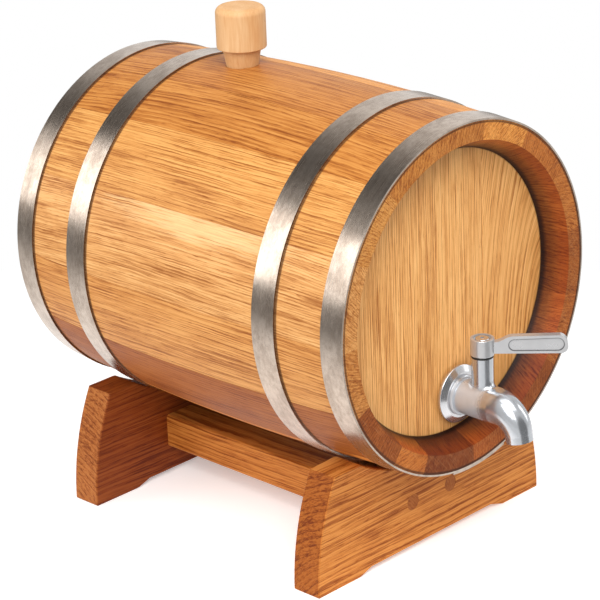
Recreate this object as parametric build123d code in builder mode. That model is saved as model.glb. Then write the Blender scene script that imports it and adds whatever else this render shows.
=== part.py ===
from build123d import *
from math import asin, cos, degrees, radians, sin, sqrt
import os

os.makedirs("parts", exist_ok=True)

# A small oak barrel lying on its cradle stand. Millimetres, +Z up, floor at Z = 0.
# The barrel's axis runs along Y, and the head with the spigot faces -Y.
# The origin is on the floor, under the middle of the whole object.

# ---- Barrel shell -------------------------------------------------------------------------
BARREL_LENGTH = 270.0
BELLY_RADIUS = 108.6  # outside of the staves, half way along
END_RADIUS = 103.2  # outside of the staves, at both ends
STAVE_THICKNESS = 19.4
STAVE_WIDTHS = (28, 19.5, 24.5, 28, 24, 26.5, 16, 25, 25, 23, 25, 24, 24, 25, 22.5)  # degrees
FIRST_SEAM = 80.5  # degrees up from +X, seen from the front
SEAM_DEPTH = 0.25  # of the fine line that shows between two staves
SEAM_WIDTH = 0.3
CHIME_EASE = 0.5
CHIME_INNER_RADIUS = 91.8  # where the flat end of the staves meets the chime bevel
AXIS_HEIGHT = 161.5

# ---- Heads --------------------------------------------------------------------------------
HEAD_RADIUS = 84.5  # what shows inside the chime
HEAD_DEPTH = 15.7  # from the barrel's end to the head's face
HEAD_THICKNESS = 13.0
TONGUE_THICKNESS = 5.0
TONGUE_DEPTH = 4.0
CROZE_CLEARANCE = 0.2
CROZE_GAP = 0.4  # left open in front of the head
HEAD_SEAMS = (-29.0, 32.0)  # joints between the head's boards
HEAD_EASE = 0.15
HEAD_DOWEL_RADIUS = 3.0
HEAD_DOWEL_LENGTH = 28.0
HEAD_DOWEL_HEIGHTS = (-45.0, 45.0)

# ---- Hoops --------------------------------------------------------------------------------
HOOP_THICKNESS = 1.1
HOOP_SEAT = 0.03
CHIME_HOOP_WIDTH = 15.0
QUARTER_HOOP_WIDTH = 16.2
QUARTER_HOOP_OFFSET = 78.1  # from the barrel's middle to the middle of the hoop
LAP_ARC = 25.0
CHIME_LAP_START = 262.0
QUARTER_LAP_START = 305.0
RIVET_ARC = 7.0  # between the two rivets of a lap
RIVET_RADIUS = 1.4
RIVET_HEAD_RADIUS = 2.7
RIVET_HEAD_HEIGHT = 1.1
RIVET_CLEARANCE = 0.02

# ---- Bung ---------------------------------------------------------------------------------
BUNG_OFFSET = 39.0  # behind the barrel's middle
BUNG_CAP_RADIUS = 15.0
BUNG_CAP_HEIGHT = 25.4
BUNG_NECK_HEIGHT = 10.5  # of the neck that shows above the stave
BUNG_NECK_RADIUS = 11.6  # under the cap
BUNG_SEAT_RADIUS = 9.8  # at the top of its hole
BUNG_TIP_RADIUS = 7.5
BUNG_BEYOND = 2.0  # of the tip inside the stave
BUNG_CLEARANCE = 0.25
BUNG_ROUND = 4.0  # round the cap's top rim

# ---- Cradle stand -------------------------------------------------------------------------
BOARD_THICKNESS = 20.0
BOARD_OFFSET = 104.9  # from the barrel's middle to a board's outer face
BOARD_HEIGHT = 70.6
BOARD_FOOT_HALF_WIDTH = 98.4
BOARD_SIDE_RADIUS = 160.0
CRADLE_RADIUS = 114.0
CRADLE_RISE = 6.0  # of the hollow's centre above the barrel's axis
FOOT_INNER = 65.0
FOOT_RAMP = 10.0
FOOT_RELIEF = 3.2
FOOT_CORNERS = (1.2, 4.0)  # left and right
BOARD_EASE = 0.6
STRETCHER_WIDTH = 73.0
STRETCHER_THICKNESS = 21.8
STRETCHER_HEIGHT = 30.1  # of its middle above the floor
STAND_DOWEL_RADIUS = 5.0
STAND_DOWEL_LENGTH = 46.0
STAND_DOWEL_SPACING = 33.4
STAND_DOWEL_HEIGHT = 31.4

# ---- Spigot: its axis runs along Y, and its stem stands upright ------------------------------
SPIGOT_X = 7.0
SPIGOT_DROP = 64.0  # below the barrel's axis
TAIL_RADIUS = 8.3
TAIL_LENGTH = 28.0
OUTER_WASHER_THICKNESS = 1.5
OUTER_WASHER_RADIUS = 15.5
INNER_WASHER_THICKNESS = 2.0
INNER_WASHER_RADIUS = 14.5
FLANGE_RADIUS = 17.6
FLANGE_THICKNESS = 3.4
NUT_WIDTH = 24.0
NUT_THICKNESS = 7.0
COLLAR_RADIUS = 12.1
BODY_RADIUS = 10.6
STEM_REACH = 20.2  # from the head's face to the stem's axis
STEM_RADIUS = 6.4
STEM_HEIGHT = 27.8
STEM_FILLET = 3.4
SPOUT_STRAIGHT = 31.0  # from the head's face to the start of the bend
SPOUT_BEND_RADIUS = 16.0
SPOUT_BEND = 80.0
SPOUT_END_LENGTH = 4.0
SPOUT_RADIUS = 8.0
SPOUT_BORE = 5.5
WATERWAY_RADIUS = 4.0
PLUG_RADIUS = 5.0
PLUG_CLEARANCE = 0.05
PLUG_BOTTOM = -6.4
PORT_RADIUS = 3.4
SPINDLE_SQUARE = 5.0
SPINDLE_TOP = 34.7
O_RING_RADIUS = 0.55
O_RING_HEIGHTS = (9.0, 24.0)
SEAL_RING_HEIGHT = 1.2

# ---- Lever --------------------------------------------------------------------------------
LEVER_ANGLE = 50.0  # from +X towards -Y
LEVER_LENGTH = 48.9
LEVER_THICKNESS = 4.4
LEVER_FOOT = 30.4  # heights above the spigot's axis
LEVER_NECK_TOP = 37.3
LEVER_TOP = 41.4
LEVER_RECESS_DEPTH = 0.5
CAP_RADIUS = 7.0
CAP_FOOT = 29.2
CAP_TOP = 39.5
CAP_RECESS_RADIUS = 5.4
CAP_RECESS_DEPTH = 1.3
SCREW_HEAD_RADIUS = 4.2
SCREW_RADIUS = 1.5
SCREW_LENGTH = 10.0
SCREW_SOCKET_RADIUS = 1.3

# ---- Worked out from the above --------------------------------------------------------------
HALF_LENGTH = BARREL_LENGTH / 2
HEAD_FACE = HALF_LENGTH - HEAD_DEPTH
CROZE_RADIUS = HEAD_RADIUS + TONGUE_DEPTH + CROZE_CLEARANCE
BULGE_RISE = BELLY_RADIUS - END_RADIUS
BULGE_RADIUS = (HALF_LENGTH**2 + BULGE_RISE**2) / (2 * BULGE_RISE)
LEVER_REACH = LEVER_LENGTH * sin(radians(LEVER_ANGLE)) + LEVER_THICKNESS / 2 * cos(radians(LEVER_ANGLE))
FRONT_REACH = HEAD_FACE + STEM_REACH + LEVER_REACH
MID_Y = (FRONT_REACH - HALF_LENGTH) / 2
HEAD_FACE_Y = MID_Y - HEAD_FACE
SPIGOT_Z = AXIS_HEIGHT - SPIGOT_DROP
STEM_Y = HEAD_FACE_Y - STEM_REACH

BARREL_CENTRE = (0, MID_Y, AXIS_HEIGHT)
BARREL_AXIS = Axis(BARREL_CENTRE, (0, -1, 0))


def outer_radius(offset):
    """Outside radius of the staves at a distance from the barrel's middle."""
    return sqrt(BULGE_RADIUS**2 - offset**2) - (BULGE_RADIUS - BELLY_RADIUS)


def radial_plane(angle):
    """Half plane through the barrel's axis: local X runs along the barrel, local Y outwards."""
    return Plane(
        origin=BARREL_CENTRE,
        x_dir=(0, 1, 0),
        z_dir=(sin(radians(angle)), 0, -cos(radians(angle))),
    )


def outward_plane(angle, offset, radius, lean=0.0):
    """Plane across a radius of the barrel, facing outwards, and leaning along the barrel."""
    across, up = cos(radians(angle)), sin(radians(angle))
    return Plane(
        origin=(radius * across, MID_Y + offset, AXIS_HEIGHT + radius * up),
        x_dir=(-up, 0, across),
        z_dir=(across * cos(lean), sin(lean), up * cos(lean)),
    )


def save(piece, name):
    """Label a finished piece and write it to its own file."""
    piece.part.label = name
    export_step(piece.part, f"parts/{name}.step")


# ---- Staves -------------------------------------------------------------------------------
# Each stave is a sector of the barrel: bulged outside, hollowed inside, with a bevelled chime
# and a croze groove near both ends. Its skin stops short of the joint on both sides.
def stave_end(side, skin):
    """Outline of one end of a stave, from its outside to its hollowed face."""
    shoulder = HALF_LENGTH - CHIME_EASE
    groove_front = HEAD_FACE + CROZE_GAP
    groove_back = HEAD_FACE - TONGUE_THICKNESS
    points = (
        (shoulder, outer_radius(shoulder) - skin),
        (HALF_LENGTH, END_RADIUS - CHIME_EASE - skin),
        (HALF_LENGTH, CHIME_INNER_RADIUS),
        (groove_front, HEAD_RADIUS),
        (groove_front, CROZE_RADIUS),
        (groove_back, CROZE_RADIUS),
        (groove_back, HEAD_RADIUS),
    )
    return [(side * along, radius) for along, radius in points]


def stave_sector(start, width, skin):
    """Part of a stave: its section turned about the barrel's axis, less a skin's thickness."""
    with BuildSketch(radial_plane(start)) as section:
        with BuildLine():
            front = Polyline(*stave_end(-1, skin))
            back = Polyline(*stave_end(1, skin))
            ThreePointArc(front @ 0, (0, BELLY_RADIUS - skin), back @ 0)
            ThreePointArc(front @ 1, (0, BELLY_RADIUS - STAVE_THICKNESS), back @ 1)
        make_face()
    revolve(section.sketch, axis=BARREL_AXIS, revolution_arc=width)


seam = FIRST_SEAM
margin = degrees(SEAM_WIDTH / 2 / BELLY_RADIUS)
for number, width in enumerate(STAVE_WIDTHS, start=1):
    with BuildPart() as stave:
        stave_sector(seam, width, SEAM_DEPTH)
        stave_sector(seam + margin, width - 2 * margin, 0)
        if number == 1:
            # the bung's hole tapers like the bung, a little wider all round
            slope = (BUNG_SEAT_RADIUS - BUNG_TIP_RADIUS) / STAVE_THICKNESS
            hole_depth = STAVE_THICKNESS + 6
            mouth = outward_plane(90, BUNG_OFFSET, outer_radius(BUNG_OFFSET) + 2)
            with Locations(mouth.offset(-hole_depth / 2)):
                Cone(
                    bottom_radius=BUNG_SEAT_RADIUS + BUNG_CLEARANCE + slope * (2 - hole_depth),
                    top_radius=BUNG_SEAT_RADIUS + BUNG_CLEARANCE + slope * 2,
                    height=hole_depth,
                    mode=Mode.SUBTRACT,
                )
    save(stave, "bung_stave" if number == 1 else f"stave_{number:02d}")
    seam += width

# ---- Heads --------------------------------------------------------------------------------
# A head is a disc of three boards doweled edge to edge. A bevel on its inner face leaves a
# thin tongue all round, which sits in the croze.
BOARD_LIMITS = (-BELLY_RADIUS, *HEAD_SEAMS, BELLY_RADIUS)
BOARD_NAMES = ("left", "middle", "right")


def head_outline():
    """Section of a whole head from its middle to its rim, facing local +X."""
    face = HEAD_FACE
    return (
        (face, 0),
        (face, HEAD_RADIUS + TONGUE_DEPTH),
        (face - TONGUE_THICKNESS, HEAD_RADIUS + TONGUE_DEPTH),
        (face - TONGUE_THICKNESS, HEAD_RADIUS - CROZE_CLEARANCE),
        (face - HEAD_THICKNESS, HEAD_RADIUS - TONGUE_DEPTH),
        (face - HEAD_THICKNESS, 0),
        (face, 0),
    )


def dowel_locations(side):
    """Places of the dowels in one head, each lying along X across a seam."""
    middle = MID_Y + side * (HEAD_FACE - HEAD_THICKNESS / 2)
    return [
        Location((seam_x, middle, AXIS_HEIGHT + height), (0, 90, 0))
        for seam_x in HEAD_SEAMS
        for height in HEAD_DOWEL_HEIGHTS
    ]


for end, side in (("front", -1), ("rear", 1)):
    for index, board_name in enumerate(BOARD_NAMES):
        low, high = BOARD_LIMITS[index], BOARD_LIMITS[index + 1]
        with BuildPart() as board:
            with BuildSketch(radial_plane(90)):
                with BuildLine():
                    Polyline(*[(side * along, radius) for along, radius in head_outline()])
                make_face()
            revolve(axis=BARREL_AXIS)
            with Locations(((low + high) / 2, MID_Y, AXIS_HEIGHT)):
                Box(high - low, 2 * BARREL_LENGTH, 2 * BELLY_RADIUS, mode=Mode.INTERSECT)
            seam_edges = board.edges().filter_by(Axis.Z).group_by(Axis.Y)
            chamfer(seam_edges[0 if side < 0 else -1], length=HEAD_EASE)
            with Locations(*dowel_locations(side)):
                Cylinder(HEAD_DOWEL_RADIUS, HEAD_DOWEL_LENGTH, mode=Mode.SUBTRACT)
            if (end, board_name) == ("front", "middle"):
                with Locations(Location((SPIGOT_X, HEAD_FACE_Y, SPIGOT_Z), (90, 0, 0))):
                    Cylinder(TAIL_RADIUS + 0.2, 3 * HEAD_THICKNESS, mode=Mode.SUBTRACT)
        save(board, f"{end}_head_{board_name}")

    with BuildPart() as head_dowels:
        with Locations(*dowel_locations(side)):
            Cylinder(HEAD_DOWEL_RADIUS, HEAD_DOWEL_LENGTH)
        chamfer(head_dowels.edges().filter_by(GeomType.CIRCLE), length=HEAD_DOWEL_RADIUS / 5)
    save(head_dowels, f"{end}_head_dowels")

# ---- Hoops --------------------------------------------------------------------------------
# A hoop is a strip bent to the cone of the staves under it. Its ends lap, and two rivets
# hold them.
CHIME_HOOP_OFFSET = HALF_LENGTH - CHIME_HOOP_WIDTH / 2
HOOPS = (
    ("front_chime_hoop", -CHIME_HOOP_OFFSET, CHIME_HOOP_WIDTH, CHIME_LAP_START),
    ("front_quarter_hoop", -QUARTER_HOOP_OFFSET, QUARTER_HOOP_WIDTH, QUARTER_LAP_START),
    ("rear_quarter_hoop", QUARTER_HOOP_OFFSET, QUARTER_HOOP_WIDTH, QUARTER_LAP_START),
    ("rear_chime_hoop", CHIME_HOOP_OFFSET, CHIME_HOOP_WIDTH, CHIME_LAP_START),
)


def strip_section(offset, width, layer):
    """Section of the strip in a radial plane: layer 0 lies on the wood, layer 1 laps over it."""
    low, high = offset - width / 2, offset + width / 2
    rise = HOOP_SEAT + layer * HOOP_THICKNESS
    return (
        (low, outer_radius(low) + rise),
        (high, outer_radius(high) + rise),
        (high, outer_radius(high) + rise + HOOP_THICKNESS),
        (low, outer_radius(low) + rise + HOOP_THICKNESS),
    )


def rivet_angles(lap_start):
    """Angles of the two rivets in the middle of a lap."""
    middle = lap_start + LAP_ARC / 2
    return (middle - RIVET_ARC / 2, middle + RIVET_ARC / 2)


def rivet_plane(angle, offset):
    """Plane of a hoop's inner face under a rivet, square to the staves there."""
    return outward_plane(angle, offset, outer_radius(offset) + HOOP_SEAT, asin(offset / BULGE_RADIUS))


for name, offset, width, lap_start in HOOPS:
    with BuildPart() as hoop:
        for layer, start, arc in ((0, 0, 360), (1, lap_start, LAP_ARC)):
            with BuildSketch(radial_plane(start)):
                with BuildLine():
                    Polyline(*strip_section(offset, width, layer), close=True)
                make_face()
            revolve(axis=BARREL_AXIS, revolution_arc=arc)
        for angle in rivet_angles(lap_start):
            with Locations(rivet_plane(angle, offset)):
                Cylinder(RIVET_RADIUS + RIVET_CLEARANCE, 8 * HOOP_THICKNESS, mode=Mode.SUBTRACT)
    save(hoop, name)

under_head = 2 * HOOP_THICKNESS + RIVET_CLEARANCE
dome_radius = (RIVET_HEAD_RADIUS**2 + RIVET_HEAD_HEIGHT**2) / (2 * RIVET_HEAD_HEIGHT)
with BuildPart() as hoop_rivets:
    for _, offset, _, lap_start in HOOPS:
        for angle in rivet_angles(lap_start):
            seat = rivet_plane(angle, offset)
            with BuildSketch(Plane(origin=seat.origin, x_dir=seat.x_dir, z_dir=-seat.y_dir)):
                with BuildLine():
                    stem = Polyline(
                        (0, 0),
                        (RIVET_RADIUS, 0),
                        (RIVET_RADIUS, under_head),
                        (RIVET_HEAD_RADIUS, under_head),
                    )
                    dome = (0, under_head + RIVET_HEAD_HEIGHT)
                    RadiusArc(stem @ 1, dome, -dome_radius)
                    Line(dome, stem @ 0)
                make_face()
            revolve(axis=Axis(seat.origin, seat.z_dir))
save(hoop_rivets, "hoop_rivets")

# ---- Bung ---------------------------------------------------------------------------------
# A turned plug: a straight cap with a rounded top, and a neck that narrows into the hole.
bung_seat = AXIS_HEIGHT + outer_radius(BUNG_OFFSET)
bung_plane = Plane(origin=(0, MID_Y + BUNG_OFFSET, bung_seat), x_dir=(0, 1, 0), z_dir=(1, 0, 0))
with BuildPart() as bung:
    with BuildSketch(bung_plane):
        with BuildLine():
            Polyline(
                (0, -STAVE_THICKNESS - BUNG_BEYOND),
                (BUNG_TIP_RADIUS - BUNG_BEYOND / 2, -STAVE_THICKNESS - BUNG_BEYOND),
                (BUNG_TIP_RADIUS, -STAVE_THICKNESS),
                (BUNG_SEAT_RADIUS, 0),
                (BUNG_NECK_RADIUS, BUNG_NECK_HEIGHT),
                (BUNG_CAP_RADIUS, BUNG_NECK_HEIGHT),
                (BUNG_CAP_RADIUS, BUNG_NECK_HEIGHT + BUNG_CAP_HEIGHT),
                (0, BUNG_NECK_HEIGHT + BUNG_CAP_HEIGHT),
                close=True,
            )
        make_face()
    revolve(axis=Axis(bung_plane.origin, (0, 0, 1)))
    cap_rims = bung.edges().filter_by(GeomType.CIRCLE).group_by(SortBy.RADIUS)[-1].sort_by(Axis.Z)
    fillet(cap_rims[-1], radius=BUNG_ROUND)
    fillet(cap_rims[0], radius=BUNG_ROUND / 5)
save(bung, "bung")

# ---- Cradle stand -------------------------------------------------------------------------
# Two boards hollowed to the barrel, joined by a flat stretcher and through dowels.
def board_plane(offset):
    """Upright plane across the barrel's axis, with local X to the right and local Y upwards."""
    return Plane(origin=(0, MID_Y + offset, 0), x_dir=(1, 0, 0), z_dir=(0, -1, 0))


cradle_edge = sqrt(CRADLE_RADIUS**2 - (AXIS_HEIGHT + CRADLE_RISE - BOARD_HEIGHT) ** 2)
board_top_half = BOARD_FOOT_HALF_WIDTH - BOARD_SIDE_RADIUS
board_top_half += sqrt(BOARD_SIDE_RADIUS**2 - BOARD_HEIGHT**2)
dowel_places = [(side * STAND_DOWEL_SPACING / 2, STAND_DOWEL_HEIGHT) for side in (-1, 1)]

for end, side in (("front", -1), ("rear", 1)):
    with BuildPart() as board:
        with BuildSketch(board_plane(side * BOARD_OFFSET)) as outline:
            with BuildLine():
                bottom = Polyline(
                    (-BOARD_FOOT_HALF_WIDTH, 0),
                    (-FOOT_INNER, 0),
                    (-FOOT_INNER + FOOT_RAMP, FOOT_RELIEF),
                    (FOOT_INNER - FOOT_RAMP, FOOT_RELIEF),
                    (FOOT_INNER, 0),
                    (BOARD_FOOT_HALF_WIDTH, 0),
                )
                right = RadiusArc(bottom @ 1, (board_top_half, BOARD_HEIGHT), -BOARD_SIDE_RADIUS)
                right_flat = Line(right @ 1, (cradle_edge, BOARD_HEIGHT))
                cradle = RadiusArc(right_flat @ 1, (-cradle_edge, BOARD_HEIGHT), CRADLE_RADIUS)
                left_flat = Line(cradle @ 1, (-board_top_half, BOARD_HEIGHT))
                RadiusArc(left_flat @ 1, bottom @ 0, -BOARD_SIDE_RADIUS)
            make_face()
            corners = outline.vertices().group_by(Axis.Z)[0].sort_by(Axis.X)
            fillet(corners[0], radius=FOOT_CORNERS[0])
            fillet(corners[-1], radius=FOOT_CORNERS[1])
            with Locations(*dowel_places):
                Circle(STAND_DOWEL_RADIUS, mode=Mode.SUBTRACT)
        extrude(amount=side * BOARD_THICKNESS)
        rims = board.faces().filter_by(Axis.Y).edges()
        chamfer(rims.filter_by(lambda edge: edge.length > 12 * STAND_DOWEL_RADIUS), length=BOARD_EASE)
    save(board, f"{end}_cradle_board")

stretcher_end = BOARD_OFFSET - BOARD_THICKNESS
with BuildPart() as stretcher:
    with BuildSketch(board_plane(-stretcher_end)):
        with Locations((0, STRETCHER_HEIGHT)):
            RectangleRounded(STRETCHER_WIDTH, STRETCHER_THICKNESS, 2)
    extrude(amount=-2 * stretcher_end)
    for side in (-1, 1):
        with BuildSketch(board_plane(side * stretcher_end)):
            with Locations(*dowel_places):
                Circle(STAND_DOWEL_RADIUS)
        extrude(amount=side * (STAND_DOWEL_LENGTH - BOARD_THICKNESS), mode=Mode.SUBTRACT)
save(stretcher, "stretcher")

with BuildPart() as stand_dowels:
    for side in (-1, 1):
        with BuildSketch(board_plane(side * BOARD_OFFSET)):
            with Locations(*dowel_places):
                Circle(STAND_DOWEL_RADIUS)
        extrude(amount=side * STAND_DOWEL_LENGTH)
    chamfer(stand_dowels.edges().filter_by(GeomType.CIRCLE), length=BOARD_EASE / 3)
save(stand_dowels, "stand_dowels")

# ---- Spigot -------------------------------------------------------------------------------
# Local X runs forward from the head's face, and local Y upwards from the spigot's axis.
SPIGOT_PLANE = Plane(origin=(SPIGOT_X, HEAD_FACE_Y, SPIGOT_Z), x_dir=(0, -1, 0), z_dir=(-1, 0, 0))
SPIGOT_AXIS = Axis(SPIGOT_PLANE.origin, (0, -1, 0))
STEM_AXIS = Axis((SPIGOT_X, STEM_Y, SPIGOT_Z), (0, 0, 1))
flange_front = OUTER_WASHER_THICKNESS + FLANGE_THICKNESS


def turned(points, axis, plane, mode=Mode.ADD):
    """A piece turned about an axis from a closed outline in a plane through it."""
    with BuildSketch(plane) as section:
        with BuildLine():
            Polyline(*points, close=True)
        make_face()
    revolve(section.sketch, axis=axis, mode=mode)


def stem_plane(height):
    """Level plane across the stem, at a height above the spigot's axis."""
    return Plane(origin=(SPIGOT_X, STEM_Y, SPIGOT_Z + height))


def spout_plane(turn, beyond=0.0):
    """Plane across the spout after a part of its bend, or some way beyond it."""
    angle = radians(turn)
    forward = SPOUT_STRAIGHT + SPOUT_BEND_RADIUS * sin(angle) + beyond * cos(angle)
    drop = SPOUT_BEND_RADIUS * (1 - cos(angle)) + beyond * sin(angle)
    return Plane(
        origin=(SPIGOT_X, HEAD_FACE_Y - forward, SPIGOT_Z - drop),
        x_dir=(1, 0, 0),
        z_dir=(0, -cos(angle), -sin(angle)),
    )


def along_spout(start_radius, end_radius):
    """Planes and radii of a round passage or wall that changes size along the bend."""
    steps = 6
    stations = []
    for step in range(steps + 1):
        part = step / steps
        stations.append((spout_plane(SPOUT_BEND * part), start_radius + (end_radius - start_radius) * part))
    return stations


with BuildPart() as spigot_body:
    turned(
        (
            (-TAIL_LENGTH, 0),
            (-TAIL_LENGTH, TAIL_RADIUS - 0.8),
            (-TAIL_LENGTH + 0.8, TAIL_RADIUS),
            (flange_front, TAIL_RADIUS),
            (flange_front, COLLAR_RADIUS - 0.4),
            (flange_front + 0.4, COLLAR_RADIUS),
            (flange_front + 1.6, COLLAR_RADIUS),
            (flange_front + 2.0, COLLAR_RADIUS - 0.4),
            (flange_front + 2.0, BODY_RADIUS - 0.3),
            (flange_front + 2.8, BODY_RADIUS - 0.3),
            (flange_front + 3.2, BODY_RADIUS),
            (SPOUT_STRAIGHT, BODY_RADIUS),
            (SPOUT_STRAIGHT, 0),
        ),
        SPIGOT_AXIS,
        SPIGOT_PLANE,
    )
    before = spigot_body.edges()
    with BuildSketch(stem_plane(0)):
        Circle(STEM_RADIUS)
    extrude(amount=STEM_HEIGHT)
    joint_edges = (spigot_body.edges() - before).filter_by(GeomType.CIRCLE, reverse=True)
    root = joint_edges.sort_by(SortBy.LENGTH)[-1]
    fillet(root, radius=STEM_FILLET)
    for plane, radius in along_spout(BODY_RADIUS, SPOUT_RADIUS):
        with BuildSketch(plane):
            Circle(radius)
    loft()
    with BuildSketch(spout_plane(SPOUT_BEND)):
        Circle(SPOUT_RADIUS)
    extrude(amount=SPOUT_END_LENGTH)
    # the waterway: tail, plug seat and spout
    with BuildSketch(Plane(origin=SPIGOT_PLANE.origin, z_dir=(0, -1, 0)).offset(-TAIL_LENGTH)):
        Circle(WATERWAY_RADIUS)
    extrude(amount=TAIL_LENGTH + SPOUT_STRAIGHT, mode=Mode.SUBTRACT)
    for plane, radius in along_spout(WATERWAY_RADIUS, SPOUT_BORE):
        with BuildSketch(plane):
            Circle(radius)
    loft(mode=Mode.SUBTRACT)
    with BuildSketch(spout_plane(SPOUT_BEND)):
        Circle(SPOUT_BORE)
    extrude(amount=SPOUT_END_LENGTH, mode=Mode.SUBTRACT)
    with BuildSketch(stem_plane(PLUG_BOTTOM - PLUG_CLEARANCE)):
        Circle(PLUG_RADIUS + PLUG_CLEARANCE)
    extrude(amount=STEM_HEIGHT - PLUG_BOTTOM + PLUG_CLEARANCE, mode=Mode.SUBTRACT)
save(spigot_body, "spigot_body")

with BuildPart() as spigot_flange:
    turned(
        (
            (OUTER_WASHER_THICKNESS, TAIL_RADIUS + 0.1),
            (OUTER_WASHER_THICKNESS, FLANGE_RADIUS),
            (OUTER_WASHER_THICKNESS + 1.4, FLANGE_RADIUS),
            (flange_front, COLLAR_RADIUS + 1.6),
            (flange_front, TAIL_RADIUS + 0.1),
        ),
        SPIGOT_AXIS,
        SPIGOT_PLANE,
    )
    rims = spigot_flange.edges().filter_by(GeomType.CIRCLE)
    fillet(rims.filter_by(lambda edge: edge.radius > COLLAR_RADIUS).sort_by(Axis.Y)[0:2], radius=0.6)
save(spigot_flange, "spigot_flange")

WASHERS = (
    ("spigot_outer_washer", OUTER_WASHER_THICKNESS, OUTER_WASHER_THICKNESS, OUTER_WASHER_RADIUS),
    ("spigot_inner_washer", -HEAD_THICKNESS, INNER_WASHER_THICKNESS, INNER_WASHER_RADIUS),
)
for name, front, thickness, radius in WASHERS:
    with BuildPart() as washer:
        with BuildSketch(Plane(origin=SPIGOT_PLANE.origin, z_dir=(0, -1, 0)).offset(front)):
            Circle(radius)
            Circle(TAIL_RADIUS + 0.1, mode=Mode.SUBTRACT)
        extrude(amount=-thickness)
    save(washer, name)

# the lock nut: a hexagon with its corners turned off
nut_front = -HEAD_THICKNESS - INNER_WASHER_THICKNESS
nut_back = nut_front - NUT_THICKNESS
nut_corner = NUT_WIDTH / 2 / cos(radians(30))
with BuildPart() as spigot_lock_nut:
    with BuildSketch(Plane(origin=SPIGOT_PLANE.origin, z_dir=(0, -1, 0)).offset(nut_front)):
        RegularPolygon(NUT_WIDTH / 2, 6, major_radius=False)
        Circle(TAIL_RADIUS + 0.05, mode=Mode.SUBTRACT)
    extrude(amount=-NUT_THICKNESS)
    turned(
        (
            (nut_front, 0),
            (nut_front, nut_corner - 1.4),
            (nut_front - 0.8, nut_corner),
            (nut_back + 0.8, nut_corner),
            (nut_back, nut_corner - 1.4),
            (nut_back, 0),
        ),
        SPIGOT_AXIS,
        SPIGOT_PLANE,
        mode=Mode.INTERSECT,
    )
save(spigot_lock_nut, "spigot_lock_nut")

# the plug turns in the stem's bore, and its port lines up with the spout when the lever does
LEVER_OUT = (cos(radians(LEVER_ANGLE)), -sin(radians(LEVER_ANGLE)), 0)
STEM_SIDE = Plane(origin=(SPIGOT_X, STEM_Y, SPIGOT_Z), x_dir=LEVER_OUT, z_dir=(LEVER_OUT[1], -LEVER_OUT[0], 0))
GROOVE_RADIUS = PLUG_RADIUS - 2 * O_RING_RADIUS
plug_outline = [(0, PLUG_BOTTOM), (PLUG_RADIUS, PLUG_BOTTOM)]
for height in O_RING_HEIGHTS:
    plug_outline += [
        (PLUG_RADIUS, height - O_RING_RADIUS - 0.1),
        (GROOVE_RADIUS, height - O_RING_RADIUS - 0.1),
        (GROOVE_RADIUS, height + O_RING_RADIUS + 0.1),
        (PLUG_RADIUS, height + O_RING_RADIUS + 0.1),
    ]
plug_outline += [(PLUG_RADIUS, STEM_HEIGHT), (0, STEM_HEIGHT)]
with BuildPart() as valve_core:
    turned(plug_outline, STEM_AXIS, STEM_SIDE)
    with BuildSketch(stem_plane(STEM_HEIGHT)):
        Rectangle(SPINDLE_SQUARE, SPINDLE_SQUARE, rotation=-LEVER_ANGLE)
    extrude(amount=SPINDLE_TOP - STEM_HEIGHT)
    with BuildSketch(Plane(origin=STEM_SIDE.origin, z_dir=LEVER_OUT)):
        Circle(PORT_RADIUS)
    extrude(amount=2 * PLUG_RADIUS, both=True, mode=Mode.SUBTRACT)
    with BuildSketch(stem_plane(SPINDLE_TOP)):
        Circle(SCREW_RADIUS)
    extrude(amount=-SCREW_LENGTH, mode=Mode.SUBTRACT)
save(valve_core, "valve_core")

with BuildPart() as valve_o_rings:
    for height in O_RING_HEIGHTS:
        with Locations(stem_plane(height)):
            Torus(PLUG_RADIUS - O_RING_RADIUS, O_RING_RADIUS)
save(valve_o_rings, "valve_o_rings")

with BuildPart() as stem_seal_ring:
    with BuildSketch(stem_plane(STEM_HEIGHT)):
        Circle(STEM_RADIUS + 0.2)
        Circle(PLUG_RADIUS + 0.3, mode=Mode.SUBTRACT)
    extrude(amount=SEAL_RING_HEIGHT)
    fillet(stem_seal_ring.edges().filter_by(GeomType.CIRCLE).group_by(SortBy.RADIUS)[-1], radius=0.4)
save(stem_seal_ring, "stem_seal_ring")

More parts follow.
